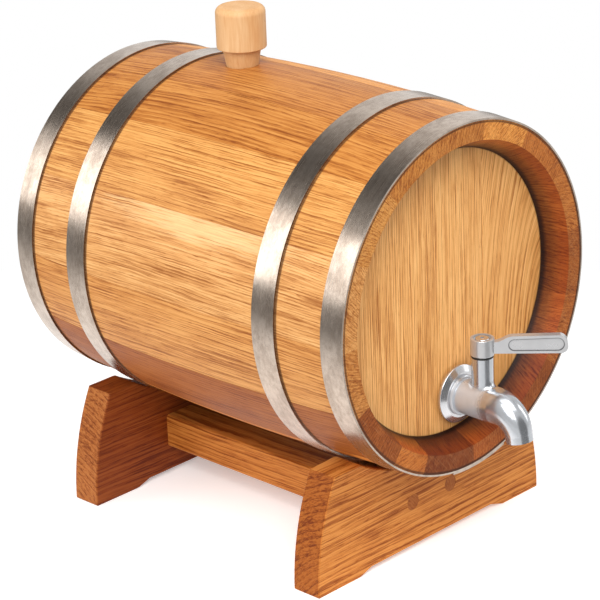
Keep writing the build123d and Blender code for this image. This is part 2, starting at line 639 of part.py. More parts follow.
# ---- Lever --------------------------------------------------------------------------------
# Cap and blade in one: the blade stands on edge, with a long sunk panel in both its faces.
blade_mid = (LEVER_FOOT + LEVER_TOP) / 2
tip_radius = 4.2
tip_slope = 0.4  # the blade's end leans back by this much
shoulder_x = 18  # where the blade's top begins to drop to its neck
with BuildPart() as lever:
    with BuildSketch(stem_plane(CAP_FOOT)):
        Circle(CAP_RADIUS)
    extrude(amount=CAP_TOP - CAP_FOOT)
    cap_edges = lever.edges().filter_by(GeomType.CIRCLE).sort_by(Axis.Z)
    fillet(cap_edges, radius=0.5)
    with BuildSketch(STEM_SIDE):
        with BuildLine():
            foot = Line((CAP_RADIUS - 2, LEVER_FOOT), (LEVER_LENGTH - tip_radius, LEVER_FOOT))
            lower_tip = TangentArc(foot @ 1, (LEVER_LENGTH, LEVER_FOOT + tip_radius), tangent=(1, 0))
            tip = Line(lower_tip @ 1, (LEVER_LENGTH - tip_slope, LEVER_TOP - tip_radius))
            upper_end = (LEVER_LENGTH - tip_slope - tip_radius, LEVER_TOP)
            upper_tip = TangentArc(tip @ 1, upper_end, tangent=tip % 1)
            top = Line(upper_tip @ 1, (shoulder_x, LEVER_TOP - 0.5))
            neck = Spline(top @ 1, (CAP_RADIUS - 0.6, LEVER_NECK_TOP), tangents=((-1, 0), (-1, 0)))
            Polyline(neck @ 1, (CAP_RADIUS - 2, LEVER_NECK_TOP), foot @ 0)
        make_face()
    extrude(amount=LEVER_THICKNESS / 2, both=True)
    panel_start, panel_end = shoulder_x + 0.3, LEVER_LENGTH - 6
    panel_foot = LEVER_FOOT + 1.7
    for side in (-1, 1):
        with BuildSketch(STEM_SIDE.offset(side * LEVER_THICKNESS / 2)):
            with BuildLine():
                foot = Line((panel_start, panel_foot), (panel_end, panel_foot))
                far_top = (panel_end, LEVER_TOP - 1.8)
                ThreePointArc(foot @ 1, (panel_end + 3.8, blade_mid), far_top)
                top = Line(far_top, (panel_start, LEVER_TOP - 2.6))
                ThreePointArc(top @ 1, (panel_start - 3.2, blade_mid - 0.4), foot @ 0)
            make_face()
        extrude(amount=-side * LEVER_RECESS_DEPTH, mode=Mode.SUBTRACT)
    with BuildSketch(stem_plane(CAP_TOP)):
        Circle(CAP_RECESS_RADIUS)
    extrude(amount=-CAP_RECESS_DEPTH, mode=Mode.SUBTRACT)
    with BuildSketch(stem_plane(CAP_FOOT)):
        Rectangle(SPINDLE_SQUARE + 0.1, SPINDLE_SQUARE + 0.1, rotation=-LEVER_ANGLE)
    extrude(amount=SPINDLE_TOP + 0.3 - CAP_FOOT, mode=Mode.SUBTRACT)
    with BuildSketch(stem_plane(CAP_FOOT)):
        Circle(SCREW_RADIUS + 0.1)
    extrude(amount=CAP_TOP - CAP_FOOT, mode=Mode.SUBTRACT)
save(lever, "lever")

screw_seat = CAP_TOP - CAP_RECESS_DEPTH
with BuildPart() as lever_screw:
    with BuildSketch(stem_plane(screw_seat)):
        Circle(SCREW_HEAD_RADIUS)
    extrude(amount=CAP_RECESS_DEPTH)
    fillet(lever_screw.edges().filter_by(GeomType.CIRCLE).sort_by(Axis.Z)[-1], radius=0.7)
    with BuildSketch(stem_plane(screw_seat)):
        Circle(SCREW_RADIUS - 0.02)
    extrude(amount=-SCREW_LENGTH)
    with BuildSketch(stem_plane(CAP_TOP)):
        RegularPolygon(SCREW_SOCKET_RADIUS, 6)
    extrude(amount=-CAP_RECESS_DEPTH + 0.3, mode=Mode.SUBTRACT)
save(lever_screw, "lever_screw")
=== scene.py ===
# %% [markdown]
# # A small oak barrel on its cradle
# A five litre barrel lies on two hollowed boards. Four stainless hoops hold fifteen staves,
# a turned bung closes the top, and a quarter-turn spigot stands in the front head.
# The construction comes in as a fixed frame of real sizes, in metres, with Z up.
# This lesson gives every surface its finish, and lights it like a piece in a catalogue.

import math

import bpy
from mathutils import Matrix, Vector


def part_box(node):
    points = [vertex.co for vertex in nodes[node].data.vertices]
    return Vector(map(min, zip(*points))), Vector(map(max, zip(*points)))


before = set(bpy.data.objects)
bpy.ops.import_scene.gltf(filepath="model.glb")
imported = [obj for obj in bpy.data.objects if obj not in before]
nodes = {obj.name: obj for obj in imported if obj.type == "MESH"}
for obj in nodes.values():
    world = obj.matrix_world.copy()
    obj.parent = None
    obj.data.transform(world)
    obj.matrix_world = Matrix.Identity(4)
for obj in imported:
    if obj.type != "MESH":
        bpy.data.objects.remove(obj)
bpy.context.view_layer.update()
MM = 0.001

# %% [markdown]
# The barrel's own axis is the best ruler for everything round: grain, hoops and heads.
# The staves' box gives it, so nothing is typed twice. The barrel lies along Y.

# %% The barrel's axis
stave_names = sorted(name for name in nodes if "stave" in name)
low_corners, high_corners = zip(*(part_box(name) for name in stave_names))
barrel_low = Vector(min(corner[axis] for corner in low_corners) for axis in range(3))
barrel_high = Vector(max(corner[axis] for corner in high_corners) for axis in range(3))
barrel_centre = (barrel_low + barrel_high) / 2
belly_radius = (barrel_high.x - barrel_low.x) / 2
half_length = (barrel_high.y - barrel_low.y) / 2
print("barrel centre", barrel_centre, "belly radius", round(belly_radius, 4))

# %% [markdown]
# ## Camera
# A long lens from a metre and a half keeps the ellipses of the heads calm. The camera stands
# to the left of the front head, a little above the barrel, and leans two degrees.
# Three turns say where it looks: heading, pitch and roll.

# %% Camera
CAMERA_OFFSET = Vector((-1.0235, -1.0191, 0.5263))  # from the middle of the barrel
HEADING, PITCH, ROLL = math.radians(45.16), math.radians(21.18), math.radians(-2.27)
SENSOR_WIDTH, FOCAL_LENGTH = 36, 153.5  # in millimetres

camera = bpy.data.objects.new("camera", bpy.data.cameras.new("camera"))
camera.data.sensor_width = SENSOR_WIDTH
camera.data.lens = FOCAL_LENGTH
turn = Matrix.Rotation(-HEADING, 4, "Z") @ Matrix.Rotation(math.pi / 2 - PITCH, 4, "X")
turn = turn @ Matrix.Rotation(ROLL, 4, "Z")
camera.matrix_world = Matrix.Translation(barrel_centre + CAMERA_OFFSET) @ turn
bpy.context.scene.collection.objects.link(camera)
bpy.context.scene.camera = camera
print("camera at", camera.matrix_world.translation)

# %% [markdown]
# ## Shader sums as Python
# A wood or a brushed metal is mostly arithmetic: stretch a noise, fold it into rings, darken
# the pores. Written as nodes by hand, that is a page of links. So one small class wraps a
# node's output, and its operators add Math nodes. The reflected forms let a plain number
# stand first, as in `1 - mask`.

# %% Wires
class Wire:
    """A node's output. Arithmetic on it adds Math nodes to its material."""

    def __init__(self, sheet, socket):
        self.sheet = sheet
        self.socket = socket

    def math(self, operation, *values):
        numbered = dict(enumerate(values))
        return self.sheet.add("ShaderNodeMath", {"operation": operation}, numbered)

    def other(self, name):
        """Another output of the same node."""
        return Wire(self.sheet, self.socket.node.outputs[name])

    def __add__(self, value):
        return self.math("ADD", self, value)

    def __radd__(self, value):
        return self.math("ADD", value, self)

    def __sub__(self, value):
        return self.math("SUBTRACT", self, value)

    def __rsub__(self, value):
        return self.math("SUBTRACT", value, self)

    def __mul__(self, value):
        return self.math("MULTIPLY", self, value)

    def __rmul__(self, value):
        return self.math("MULTIPLY", value, self)

    def __truediv__(self, value):
        return self.math("DIVIDE", self, value)

    def __rtruediv__(self, value):
        return self.math("DIVIDE", value, self)

    def __pow__(self, value):
        return self.math("POWER", self, value)

    def __abs__(self):
        return self.math("ABSOLUTE", self)

    def fraction(self):
        return self.math("FRACT", self)


print("wires ready")

# %% [markdown]
# ## Sheets of nodes
# A material is a sheet of nodes, and so is the world. Every node that isn't plain arithmetic
# comes from one method, `add`: the node's type, then its settings, then what goes into its
# sockets. Settings come first, because they decide which sockets a node has. A socket is
# named by its label or, where a node repeats a label, by its place in the row.

# %% Sheets
class Sheet:
    """The nodes of one material, or of the world."""

    def __init__(self, owner):
        owner.use_nodes = True
        self.owner = owner
        self.tree = owner.node_tree

    def add(self, kind, settings, values):
        """A node of a kind: its settings first, then what goes into its sockets."""
        node = self.tree.nodes.new(kind)
        for key, setting in settings.items():
            if key == "stops":
                ramp = node.color_ramp
                while len(ramp.elements) < len(setting):
                    ramp.elements.new(1.0)
                for element, (position, colour) in zip(ramp.elements, setting):
                    element.position = position
                    element.color = (*colour, 1.0)
            else:
                setattr(node, key, setting)
        open_inputs = [socket for socket in node.inputs if socket.enabled]
        for key, value in values.items():
            if isinstance(key, int):
                socket = open_inputs[key]
            else:
                socket = next(one for one in open_inputs if one.name == key)
            self.put(socket, value)
        return Wire(self, next(socket for socket in node.outputs if socket.enabled))

    def put(self, socket, value):
        if isinstance(value, Wire):
            self.tree.links.new(value.socket, socket)
        elif socket.type == "RGBA":
            socket.default_value = (*value, 1.0)
        else:
            socket.default_value = value

    def finish(self, values):
        """Fill sockets of the material's own shader."""
        shader = self.tree.nodes["Principled BSDF"]
        for name, value in values.items():
            self.put(shader.inputs[name], value)
        return self.owner


def blank(name):
    """The empty sheet of a new material."""
    return Sheet(bpy.data.materials.new(name))


print("sheets ready")

# %% [markdown]
# ## Noise, masks and mixes
# Solid textures need a place: here it is always (along the grain, across it, into it), in
# metres. `noise` stretches a cloud to a size in each of these, `between` turns a value
# into a soft edged mask, and `blend` lays one colour over another by a mask.

# %% Noise, masks and mixes
SEED_STEP = (7.31, 3.77, 5.13)  # how far apart two seeds lie in the noise


def vector_math(sheet, operation, first, second):
    return sheet.add("ShaderNodeVectorMath", {"operation": operation}, {0: first, 1: second})


def noise(sheet, place, size, seed, detail=2.0, roughness=0.5):
    """A cloud of 0 to 1, stretched to a size in metres along, across and into the piece."""
    scaled = vector_math(sheet, "DIVIDE", place, size)
    moved = vector_math(sheet, "ADD", scaled, tuple(seed * step for step in SEED_STEP))
    values = {"Vector": moved, "Scale": 1.0, "Detail": detail, "Roughness": roughness}
    return sheet.add("ShaderNodeTexNoise", {}, values)


def between(sheet, value, low, high):
    """0 at low, 1 at high, and a soft step in between."""
    settings = {"interpolation_type": "SMOOTHSTEP"}
    values = {"Value": value, "From Min": low, "From Max": high}
    return sheet.add("ShaderNodeMapRange", settings, values)


def blend(sheet, mask, first, second, mode="MIX"):
    """Two colours mixed by a mask."""
    settings = {"data_type": "RGBA", "blend_type": mode}
    return sheet.add("ShaderNodeMix", settings, {"Factor": mask, "A": first, "B": second})


def tinted(sheet, colour, tint):
    """A colour seen through a tint, as wood under oil."""
    return blend(sheet, 1.0, colour, tint, "MULTIPLY")


def bump(sheet, height, depth):
    """A normal from heights of 0 to 1, with a real depth in metres."""
    values = {"Height": height * depth, "Strength": 1.0, "Distance": 1.0}
    return sheet.add("ShaderNodeBump", {}, values)


print("noise, masks and mixes ready")

# %% [markdown]
# ## Places and colours
# A finish asks where it is on the piece and which way the surface looks, both in the frame's
# own metres. Colours are given as a screen shows them, because that is how a maker picks
# them from a swatch, and are turned into amounts of light.

# %% Places and colours
def parts_of(sheet, vector):
    """The three numbers of a vector."""
    x = sheet.add("ShaderNodeSeparateXYZ", {}, {0: vector})
    return x, x.other("Y"), x.other("Z")


def joined(sheet, x, y, z):
    """Three numbers as one vector."""
    return sheet.add("ShaderNodeCombineXYZ", {}, {0: x, 1: y, 2: z})


def position(sheet):
    """Where a point of the piece is, in metres."""
    return sheet.add("ShaderNodeTexCoord", {}, {}).other("Object")


def facing(sheet):
    """Which way the surface looks, in the piece's own axes."""
    return sheet.add("ShaderNodeTexCoord", {}, {}).other("Normal")


def shade(red, green, blue):
    """A colour as seen on a screen, 0 to 255, turned into the light that it stands for."""
    def light(part):
        part /= 255
        return part / 12.92 if part <= 0.04045 else ((part + 0.055) / 1.055) ** 2.4

    return light(red), light(green), light(blue)


def dress(material, *names):
    """Give CAD nodes a finish."""
    for name in names:
        nodes[name].data.materials.clear()
        nodes[name].data.materials.append(material)


print("places and colours ready")

# %% [markdown]
# ## Oak
# Oak is ring porous. Every year begins with a band of wide pores, which oil turns brown, and
# ends with dense pale wood. A board shows these bands as lines along the grain. Three things
# make the picture: the rings, slightly wandering and unevenly far apart; streaks and fibres,
# stretched along the grain, with pores as dark dashes a few millimetres long; and slow
# changes of tone. All are solid textures, so the same rings come out on the end grain,
# where they belong.

# %% Oak
# how large each feature is, in metres along the grain, across it and into it
OAK_SIZES = {
    "drift": (0.16, 0.022, 0.04),
    "ripple": (0.022, 0.005, 0.008),
    "shiver": (0.005, 0.003, 0.004),
    "years": (0.9, 0.007, 0.05),
    "fade": (0.05, 0.014, 0.03),
    "streak": (0.110, 0.0013, 0.004),
    "fibre": (0.026, 0.0006, 0.002),
    "dashes": (0.0060, 0.0005, 0.0006),
    "cloud": (0.06, 0.016, 0.03),
    "patch": (0.030, 0.007, 0.02),
}
RIPPLE, SHIVER = 1.1 * MM, 0.35 * MM  # how far the grain's smaller waves swing
YEARS_DRIFT = 6 * MM  # how unevenly far apart the rings are
# how much darker each feature makes the wood
EARLY_DARK, STREAK_DARK, FIBRE_DARK, PORE_DARK = 0.34, 1.35, 1.25, 0.30
CLOUD_DARK, PATCH_DARK = 1.1, 0.22
OAK_STOPS = (0.0, 0.42, 1.0)  # where on the ramp the pale, middle and brown tones lie


def oak(sheet, place, tones, ring, tilt, seed, wander=5 * MM, contrast=1.0):
    """Colour and height of oak at a place (along, across, into), with rings of a spacing."""
    along, across, into = parts_of(sheet, place)
    # the grain wanders, so the cut through it does
    drift = noise(sheet, place, OAK_SIZES["drift"], seed, 1.0) - 0.5
    ripple = noise(sheet, place, OAK_SIZES["ripple"], seed + 1, 2.0) - 0.5
    shiver = noise(sheet, place, OAK_SIZES["shiver"], seed + 7, 1.0) - 0.5
    cut = across * math.cos(tilt) + into * math.sin(tilt)
    cut = cut + drift * wander + ripple * RIPPLE + shiver * SHIVER
    woven = joined(sheet, along, cut, into)
    # the year rings, from the porous early wood to the dense late wood
    years = noise(sheet, woven, OAK_SIZES["years"], seed + 8, 1.0) - 0.5
    early = (1 - ((cut + years * YEARS_DRIFT) / ring).fraction()) ** 1.8
    # streaks, fibres and pores along the grain
    fade = noise(sheet, place, OAK_SIZES["fade"], seed + 9, 1.0)
    streak = noise(sheet, woven, OAK_SIZES["streak"], seed + 2, 3.0, 0.62) - 0.5
    fibre = noise(sheet, woven, OAK_SIZES["fibre"], seed + 6, 2.0, 0.6) - 0.5
    dashes = noise(sheet, woven, OAK_SIZES["dashes"], seed + 3, 1.5)
    pores = between(sheet, dashes, 0.56, 0.70) * (0.3 + early * 0.7)
    # slow changes of tone
    cloud = noise(sheet, place, OAK_SIZES["cloud"], seed + 4, 3.0, 0.6) - 0.5
    patch = noise(sheet, woven, OAK_SIZES["patch"], seed + 5, 3.0, 0.6)
    patch = between(sheet, patch, 0.54, 0.72)
    # all together: 0 is the pale end of the ramp and 1 the brown one
    lines = (early - 0.36) * EARLY_DARK + streak * STREAK_DARK
    lines = lines + fibre * FIBRE_DARK + pores * PORE_DARK
    depth = 0.38 + lines * (fade * 1.1 + 0.40) * contrast
    depth = depth + cloud * CLOUD_DARK + patch * PATCH_DARK
    stops = list(zip(OAK_STOPS, tones))
    colour = sheet.add("ShaderNodeValToRGB", {"stops": stops}, {"Fac": depth})
    height = 0.6 - pores * 0.6 - early * 0.2 + fibre * 0.3
    return colour, height


print("oak has", len(OAK_SIZES), "features")

# %% [markdown]
# A board needs three tones: its own in the middle of the ramp, a pale one for late wood and
# a brown one for oiled pores. Oak gets yellower as it gets paler and redder as it gets
# darker, so the three parts of the colour are lifted and dropped by different amounts.

# %% Oak's tones
PALE_LIFT = (1.22, 1.42, 1.75)
BROWN_DROP = (0.50, 0.35, 0.22)


def oak_tones(red, green, blue):
    """Pale, middle and brown of one board, from the colour that it has on the whole."""
    middle = shade(red, green, blue)
    pale = tuple(part * lift for part, lift in zip(middle, PALE_LIFT))
    brown = tuple(part * drop for part, drop in zip(middle, BROWN_DROP))
    return pale, middle, brown


print("oak tones ready:", len(OAK_STOPS), "to a board")

# %% [markdown]
# ## Round places
# A stave is bent and shaped from a straight board, so its grain follows the barrel. Along the
# grain is Y, and "across" is the arc round the barrel's axis. An arc has to start somewhere,
# and its seam would cut the figure in two, so it starts opposite the joint of the two lowest
# staves, and the seam falls in that joint. The sizes of the chime are measured here too.

# %% Round places
ROUND_START = math.radians(87.5)  # half a turn from the joint of the two lowest staves
CHIME_RADIUS = 87 * MM  # the staves' inner side, in front of the head
END_SLICE = 0.1 * MM  # how far from the very end a point still counts as the end


def barrel_place(sheet):
    """Along the barrel, round its belly and out from its axis, all in metres."""
    x, y, z = parts_of(sheet, position(sheet))
    right = x - barrel_centre.x
    up = z - barrel_centre.z
    ahead = right * math.cos(ROUND_START) + up * math.sin(ROUND_START)
    aside = up * math.cos(ROUND_START) - right * math.sin(ROUND_START)
    angle = up.math("ARCTAN2", aside, ahead)
    radius = (right * right + up * up) ** 0.5
    return joined(sheet, y, angle * belly_radius, radius), y, radius


hoop_names = sorted(name for name in nodes if name.endswith("hoop"))
hoop_edges = [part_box(name)[0].y for name in hoop_names]  # the edges that face the front
head_reach = barrel_centre.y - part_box("front_head_middle")[0].y  # from the middle to a head
end_radii = [
    math.hypot(vertex.co.x - barrel_centre.x, vertex.co.z - barrel_centre.z)
    for name in stave_names
    for vertex in nodes[name].data.vertices
    if vertex.co.y < barrel_low.y + END_SLICE
]
end_radius = max(end_radii)
print("chime: outer radius", round(end_radius, 4), "inner", round(min(end_radii), 4))
print("hoops", hoop_names)

# %% [markdown]
# ## The chime's end grain
# The chime is the rim that stands out past the head. Its sawn ends are full of open pores and
# drink more oil than the sides, and they are darker towards the barrel's foot. The saw leaves fine
# pale scratches in two slants. Inside the rim, painted shade darkens the bevel and the wall
# towards the head, and a painted shadow is almost black in the corner where the head goes in.
# Masks made from the direction that the surface faces, and from the distance to the barrel's
# middle, put each of these in its place.

# %% The chime's end grain
SAW_CUTS = ((0.5, 0.0004), (-0.9, 0.0005))  # slant in radians, and width of a scratch
SCRATCH_LENGTH = 12 * MM
SCRATCH_TONE = shade(228, 158, 96)
PIT_SIZE = (0.0007, 0.0007, 0.0012)  # of an open pore
PORE_TINT = (0.34, 0.28, 0.24)
# painted shade on the chime's inner wall: a little paler at the chime's edge, darker by the head
RIM_TINT, SUNK_SHADE_TINT = (0.92, 1.16, 1.45), (0.38, 0.47, 0.56)  # at the chime's edge, by the head
# painted shadow, almost black, in the corner where the head goes in
CORNER_SHADOW_TINT = (0.08, 0.09, 0.10)
CORNER_SHADE, CORNER_LINE = 4.5 * MM, 1.5 * MM  # where the corner's dark begins and is full


def strongest(masks):
    """The largest of several masks."""
    most = masks[0]
    for mask in masks[1:]:
        most = mask.math("MAXIMUM", most, mask)
    return most


def saw_marks(sheet, seed):
    """Fine pale scratches that a saw leaves across the end grain."""
    point = position(sheet)
    marks = []
    for slant, width in SAW_CUTS:
        values = {"Vector": point, "Angle": slant}
        turned = sheet.add("ShaderNodeVectorRotate", {"rotation_type": "Y_AXIS"}, values)
        scratch = noise(sheet, turned, (SCRATCH_LENGTH, 0.5, width), seed, 2.0)
        marks.append(between(sheet, scratch, 0.56, 0.76))
    return strongest(marks)


def end_grain(sheet, place, colour, end_tint, marks, seed):
    """The stave's colour on its sawn end: oiled, full of pores, and scratched."""
    end_colour = tinted(sheet, colour, end_tint)
    pits = noise(sheet, place, PIT_SIZE, seed + 20, 2.0)
    pits = between(sheet, pits, 0.50, 0.72)
    end_colour = blend(sheet, pits * 0.55, end_colour, tinted(sheet, end_colour, PORE_TINT))
    return blend(sheet, marks * 0.45, end_colour, SCRATCH_TONE)


def shade_by_the_head(sheet, colour, from_middle, radius):
    """Painted shade inside the chime, and a painted shadow almost black in the corner where the
    head goes in.
    """
    sunk = between(sheet, from_middle, half_length, head_reach)
    chime_shade = blend(sheet, sunk, RIM_TINT, SUNK_SHADE_TINT)
    corner = between(sheet, from_middle, head_reach + CORNER_SHADE, head_reach + CORNER_LINE)
    chime_shade = blend(sheet, corner, chime_shade, CORNER_SHADOW_TINT)
    inner = between(sheet, radius, CHIME_RADIUS + 4 * MM, CHIME_RADIUS)
    return blend(sheet, inner, colour, tinted(sheet, colour, chime_shade))


print("end grain ready")

# %% [markdown]
# ## Staves
# The staves come from different boards, so each has its own tone, slant of the rings and seed. One
# of them has a painted highlight: a long pale lens with a ragged edge, which is an ellipse with
# noise added before the mask is cut. Dark lines are laid on in front of the hoops and where the
# outer hoop meets the chime: grime, and painted shadow under the hoops' edges.

# %% Stave finish
# grime and painted shadow: the dark lines in front of the hoops and at the chime's outer edge
GRIME_AND_SHADOW = shade(58, 30, 16)
# painted shade on the chime's inner bevel
BEVEL_SHADE_TINT = shade(206, 166, 132)
# the pale tone of the painted highlight on one stave
HIGHLIGHT_TONE = shade(246, 208, 152)
WOOD_SHINE = 0.2  # oiled wood hardly mirrors


def painted_highlight(sheet, place, middle, reach):
    """A painted highlight: a long pale lens with a ragged edge, in (along, across)."""
    along, across = parts_of(sheet, place)[:2]
    ragged = noise(sheet, place, (0.040, 0.0017, 0.01), 17.0, 3.0, 0.65) - 0.5
    far = ((along - middle[0]) / reach[0]) ** 2 + ((across - middle[1]) / reach[1]) ** 2
    return between(sheet, 1 - far + ragged * 3.6, -0.1, 1.0)


def hoop_grime_and_shadow(sheet, y):
    """A dark line in front of each hoop: grime, and painted shadow under the hoop's edge."""
    lines = []
    for edge in hoop_edges:
        before = edge - y
        line = between(sheet, before, -0.2 * MM, 0.2 * MM)
        lines.append(line * (1 - between(sheet, before, 0.7 * MM, 2.0 * MM)))
    return strongest(lines)


def stave_finish(name, tones, tilt, seed, ring, end_tint, highlight_lens=None):
    sheet = blank(name)
    place, y, radius = barrel_place(sheet)
    colour, height = oak(sheet, place, tones, ring, tilt, seed, contrast=1.5)
    # a painted highlight: a pale lens on one stave
    if highlight_lens is not None:
        highlight_mask = painted_highlight(sheet, place, *highlight_lens)
        paler = blend(sheet, 0.55, colour, HIGHLIGHT_TONE)
        colour = blend(sheet, highlight_mask * 0.85, colour, paler)
    ahead = abs(parts_of(sheet, facing(sheet))[1])
    end = between(sheet, ahead, 0.60, 0.85)
    bevel = between(sheet, ahead, 0.25, 0.35) * (1 - end)
    marks = saw_marks(sheet, seed)
    end_colour = end_grain(sheet, place, colour, end_tint, marks, seed)
    # the chime's inner bevel gets painted shade
    side_colour = blend(sheet, bevel, colour, tinted(sheet, colour, BEVEL_SHADE_TINT))
    colour = blend(sheet, end, side_colour, end_colour)
    # painted shade inside the chime, and painted shadow in the corner by the head
    colour = shade_by_the_head(sheet, colour, abs(y - barrel_centre.y), radius)
    # a dark ring at the end's outer edge, by the outer hoop, and a dark line in front of each
    # hoop: grime and painted shadow
    seam = end * between(sheet, radius, end_radius - 1.5 * MM, end_radius - 0.5 * MM)
    colour = blend(sheet, seam * 0.8, colour, GRIME_AND_SHADOW)
    colour = blend(sheet, hoop_grime_and_shadow(sheet, y) * 0.8, colour, GRIME_AND_SHADOW)
    values = {
        "Base Color": colour,
        "Roughness": 0.42 + (1 - height) * 0.15 + end * 0.2,
        "Normal": bump(sheet, height - marks * end * 0.4, 0.10 * MM),
        "Specular IOR Level": WOOD_SHINE,
    }
    return sheet.finish(values)


print("stave finish ready")

# %% [markdown]
# The list below is the barrel's colour scheme. Two staves low on the left are much darker
# than their neighbours, and one above them is pale. Tilt and ring spacing come from sines
# with odd steps, which look unordered and yet stay the same in every run.

# %% Staves
# the colour of each stave on the whole, from the bung's one on, round by the left
STAVE_COLOURS = (
    (180, 114, 52),
    (180, 114, 50),
    (196, 134, 68),
    (204, 144, 82),
    (196, 131, 66),
    (152, 82, 30),
    (204, 124, 52),
    (138, 72, 26),
    (190, 108, 44),
    (160, 88, 34),
    (190, 114, 50),
    (170, 98, 40),
    (192, 118, 52),
    (184, 110, 48),
    (214, 142, 68),
)
# where a stave has a painted highlight: the middle and half size of the lens, (along, across)
HIGHLIGHT_LENSES = {
    3: ((0.000, belly_radius * math.radians(67.5)), (0.080, 0.010)),
}
TOP_END_TINT, FOOT_DARKENING = (1.62, 1.52, 1.30), (0.50, 0.60, 0.52)

for number, (name, colour) in enumerate(zip(stave_names, STAVE_COLOURS)):
    tilt = 0.35 + 0.5 * math.sin(2.3 * number)
    ring = (1.9 + 0.5 * math.sin(1.7 * number)) * MM
    # 0 near the top of the barrel, 1 near its foot, where the ends are darker
    oiled = 0.5 - 0.5 * math.cos(math.tau * (number - 1) / len(STAVE_COLOURS))
    end_tint = tuple(top_part - foot_part * oiled for top_part, foot_part in zip(TOP_END_TINT, FOOT_DARKENING))
    tones = oak_tones(*colour)
    highlight_lens = HIGHLIGHT_LENSES.get(number)
    dress(stave_finish("oak_" + name, tones, tilt, 3.0 + number, ring, end_tint, highlight_lens), name)
print("staves:", len(stave_names))

# %% [markdown]
# ## Heads
# The head boards are pale oak whose grain stands upright. The left and middle boards are cut so
# that the years show as straight lines. The right one comes from nearer the bark, and its years
# draw long arches, which a hyperbola gives. Where a board goes into its groove the rim is darkened
# as painted shadow.

# %% Heads
HEAD_TONES = oak_tones(227, 163, 93)
HEAD_FINENESS = 1.6  # the heads' boards grew slower than the staves'
HEAD_RIM = 85.3 * MM  # where the head disappears in its groove
HEAD_RIM_WIDTH = 1.6 * MM
# painted shadow round the head's rim, where it goes into its groove
RIM_SHADOW_TONE = shade(74, 38, 18)
ARCH_SLOPE = 0.28  # how fast the right board's arches narrow


def head_finish(name, seed, ring, contrast=1.55, arch=None):
    """Upright oak. An arch is the place (x, z) that the years' hyperbolas centre on."""
    sheet = blank(name)
    x, y, z = parts_of(sheet, position(sheet))
    across = x
    if arch is not None:
        rise = (z - arch[1]) * ARCH_SLOPE
        across = ((x - arch[0]) ** 2 + rise * rise) ** 0.5
    place = joined(sheet, z, across * HEAD_FINENESS, y * HEAD_FINENESS)
    colour, height = oak(sheet, place, HEAD_TONES, ring, 0.1, seed, 2.0 * MM, contrast)
    aside, up = x - barrel_centre.x, z - barrel_centre.z
    radius = (aside * aside + up * up) ** 0.5
    # painted shadow where the head meets its groove
    rim = between(sheet, radius, HEAD_RIM - HEAD_RIM_WIDTH, HEAD_RIM)
    values = {
        "Base Color": blend(sheet, rim * 0.85, colour, RIM_SHADOW_TONE),
        "Roughness": 0.46 + (1 - height) * 0.12,
        "Normal": bump(sheet, height, 0.08 * MM),
        "Specular IOR Level": WOOD_SHINE,
    }
    return sheet.finish(values)


for side, seed in (("front", 31.0), ("rear", 41.0)):
    left, middle, right = (f"{side}_head_{board}" for board in ("left", "middle", "right"))
    dress(head_finish("oak_" + left, seed, 2.4 * MM), left)
    dress(head_finish("oak_" + middle, seed + 2, 2.2 * MM), middle)
    board_low, board_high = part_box(right)
    arch = (board_high.x + 5 * MM, board_low.z)
    dress(head_finish("oak_" + right, seed + 5, 5.2 * MM, 1.1, arch), right)
print("heads: six boards dressed")

# %% [markdown]
# ## Stand
# The cradle boards are sawn from oak near its pith, so their rings are arcs round a line that lies
# just outside the board. That draws wide, lively figures on the faces and curved rings on the
# ends. The stretcher's grain runs from board to board, and the dowels that pin it show their end
# grain. The rear board is browner, and its tones are darker still as painted shade for its face
# under the barrel.

# %% Stand finish
STAND_CONTRAST = 2.1
STAND_END_TINT = (0.56, 0.42, 0.26)
STAND_SHINE = 0.15


def stand_finish(name, order, seed, ring, pith, tones, contrast, end_tint=STAND_END_TINT):
    """Oak whose grain runs along the first of three axes, round a pith in the other two."""
    sheet = blank(name)
    axes = dict(zip("xyz", parts_of(sheet, position(sheet))))
    along, across, into = (axes[letter] for letter in order)
    from_pith = ((across - pith[0]) ** 2 + (into - pith[1]) ** 2) ** 0.5
    place = joined(sheet, along, from_pith, into)
    colour, height = oak(sheet, place, tones, ring, 0.0, seed, 6 * MM, contrast)
    faces = dict(zip("xyz", parts_of(sheet, facing(sheet))))
    end = between(sheet, abs(faces[order[0]]), 0.55, 0.9)
    values = {
        "Base Color": blend(sheet, end, colour, tinted(sheet, colour, end_tint)),
        "Roughness": 0.5 + (1 - height) * 0.15,
        "Normal": bump(sheet, height, 0.12 * MM),
        "Specular IOR Level": STAND_SHINE,
    }
    return sheet.finish(values)


print("stand finish ready")

# %% [markdown]
# The order of the axes says how a board lies: "xzy" is a board whose grain runs along X. Its pith
# is a place in the other two, so (z, y) for the cradle boards and (x, z) for the stretcher and the
# dowels. The rear board's tones are darkened as painted shade for its face, which lies under the
# barrel, so its end, which looks to the side, is lifted back to a paler tone.

# %% Stand
STAND_TONES = oak_tones(190, 115, 48)
# browner wood, darkened further as painted shade for the face under the barrel
REAR_TONES_AND_SHADE = oak_tones(122, 56, 16)
STRETCHER_TONES = oak_tones(176, 103, 40)
DOWEL_TONES = oak_tones(184, 112, 52)
# lifts the rear board's end back out of the painted shade
REAR_END_LIFT = (1.6, 2.3, 3.2)
DOWEL_END_TINT = (0.7, 0.6, 0.5)

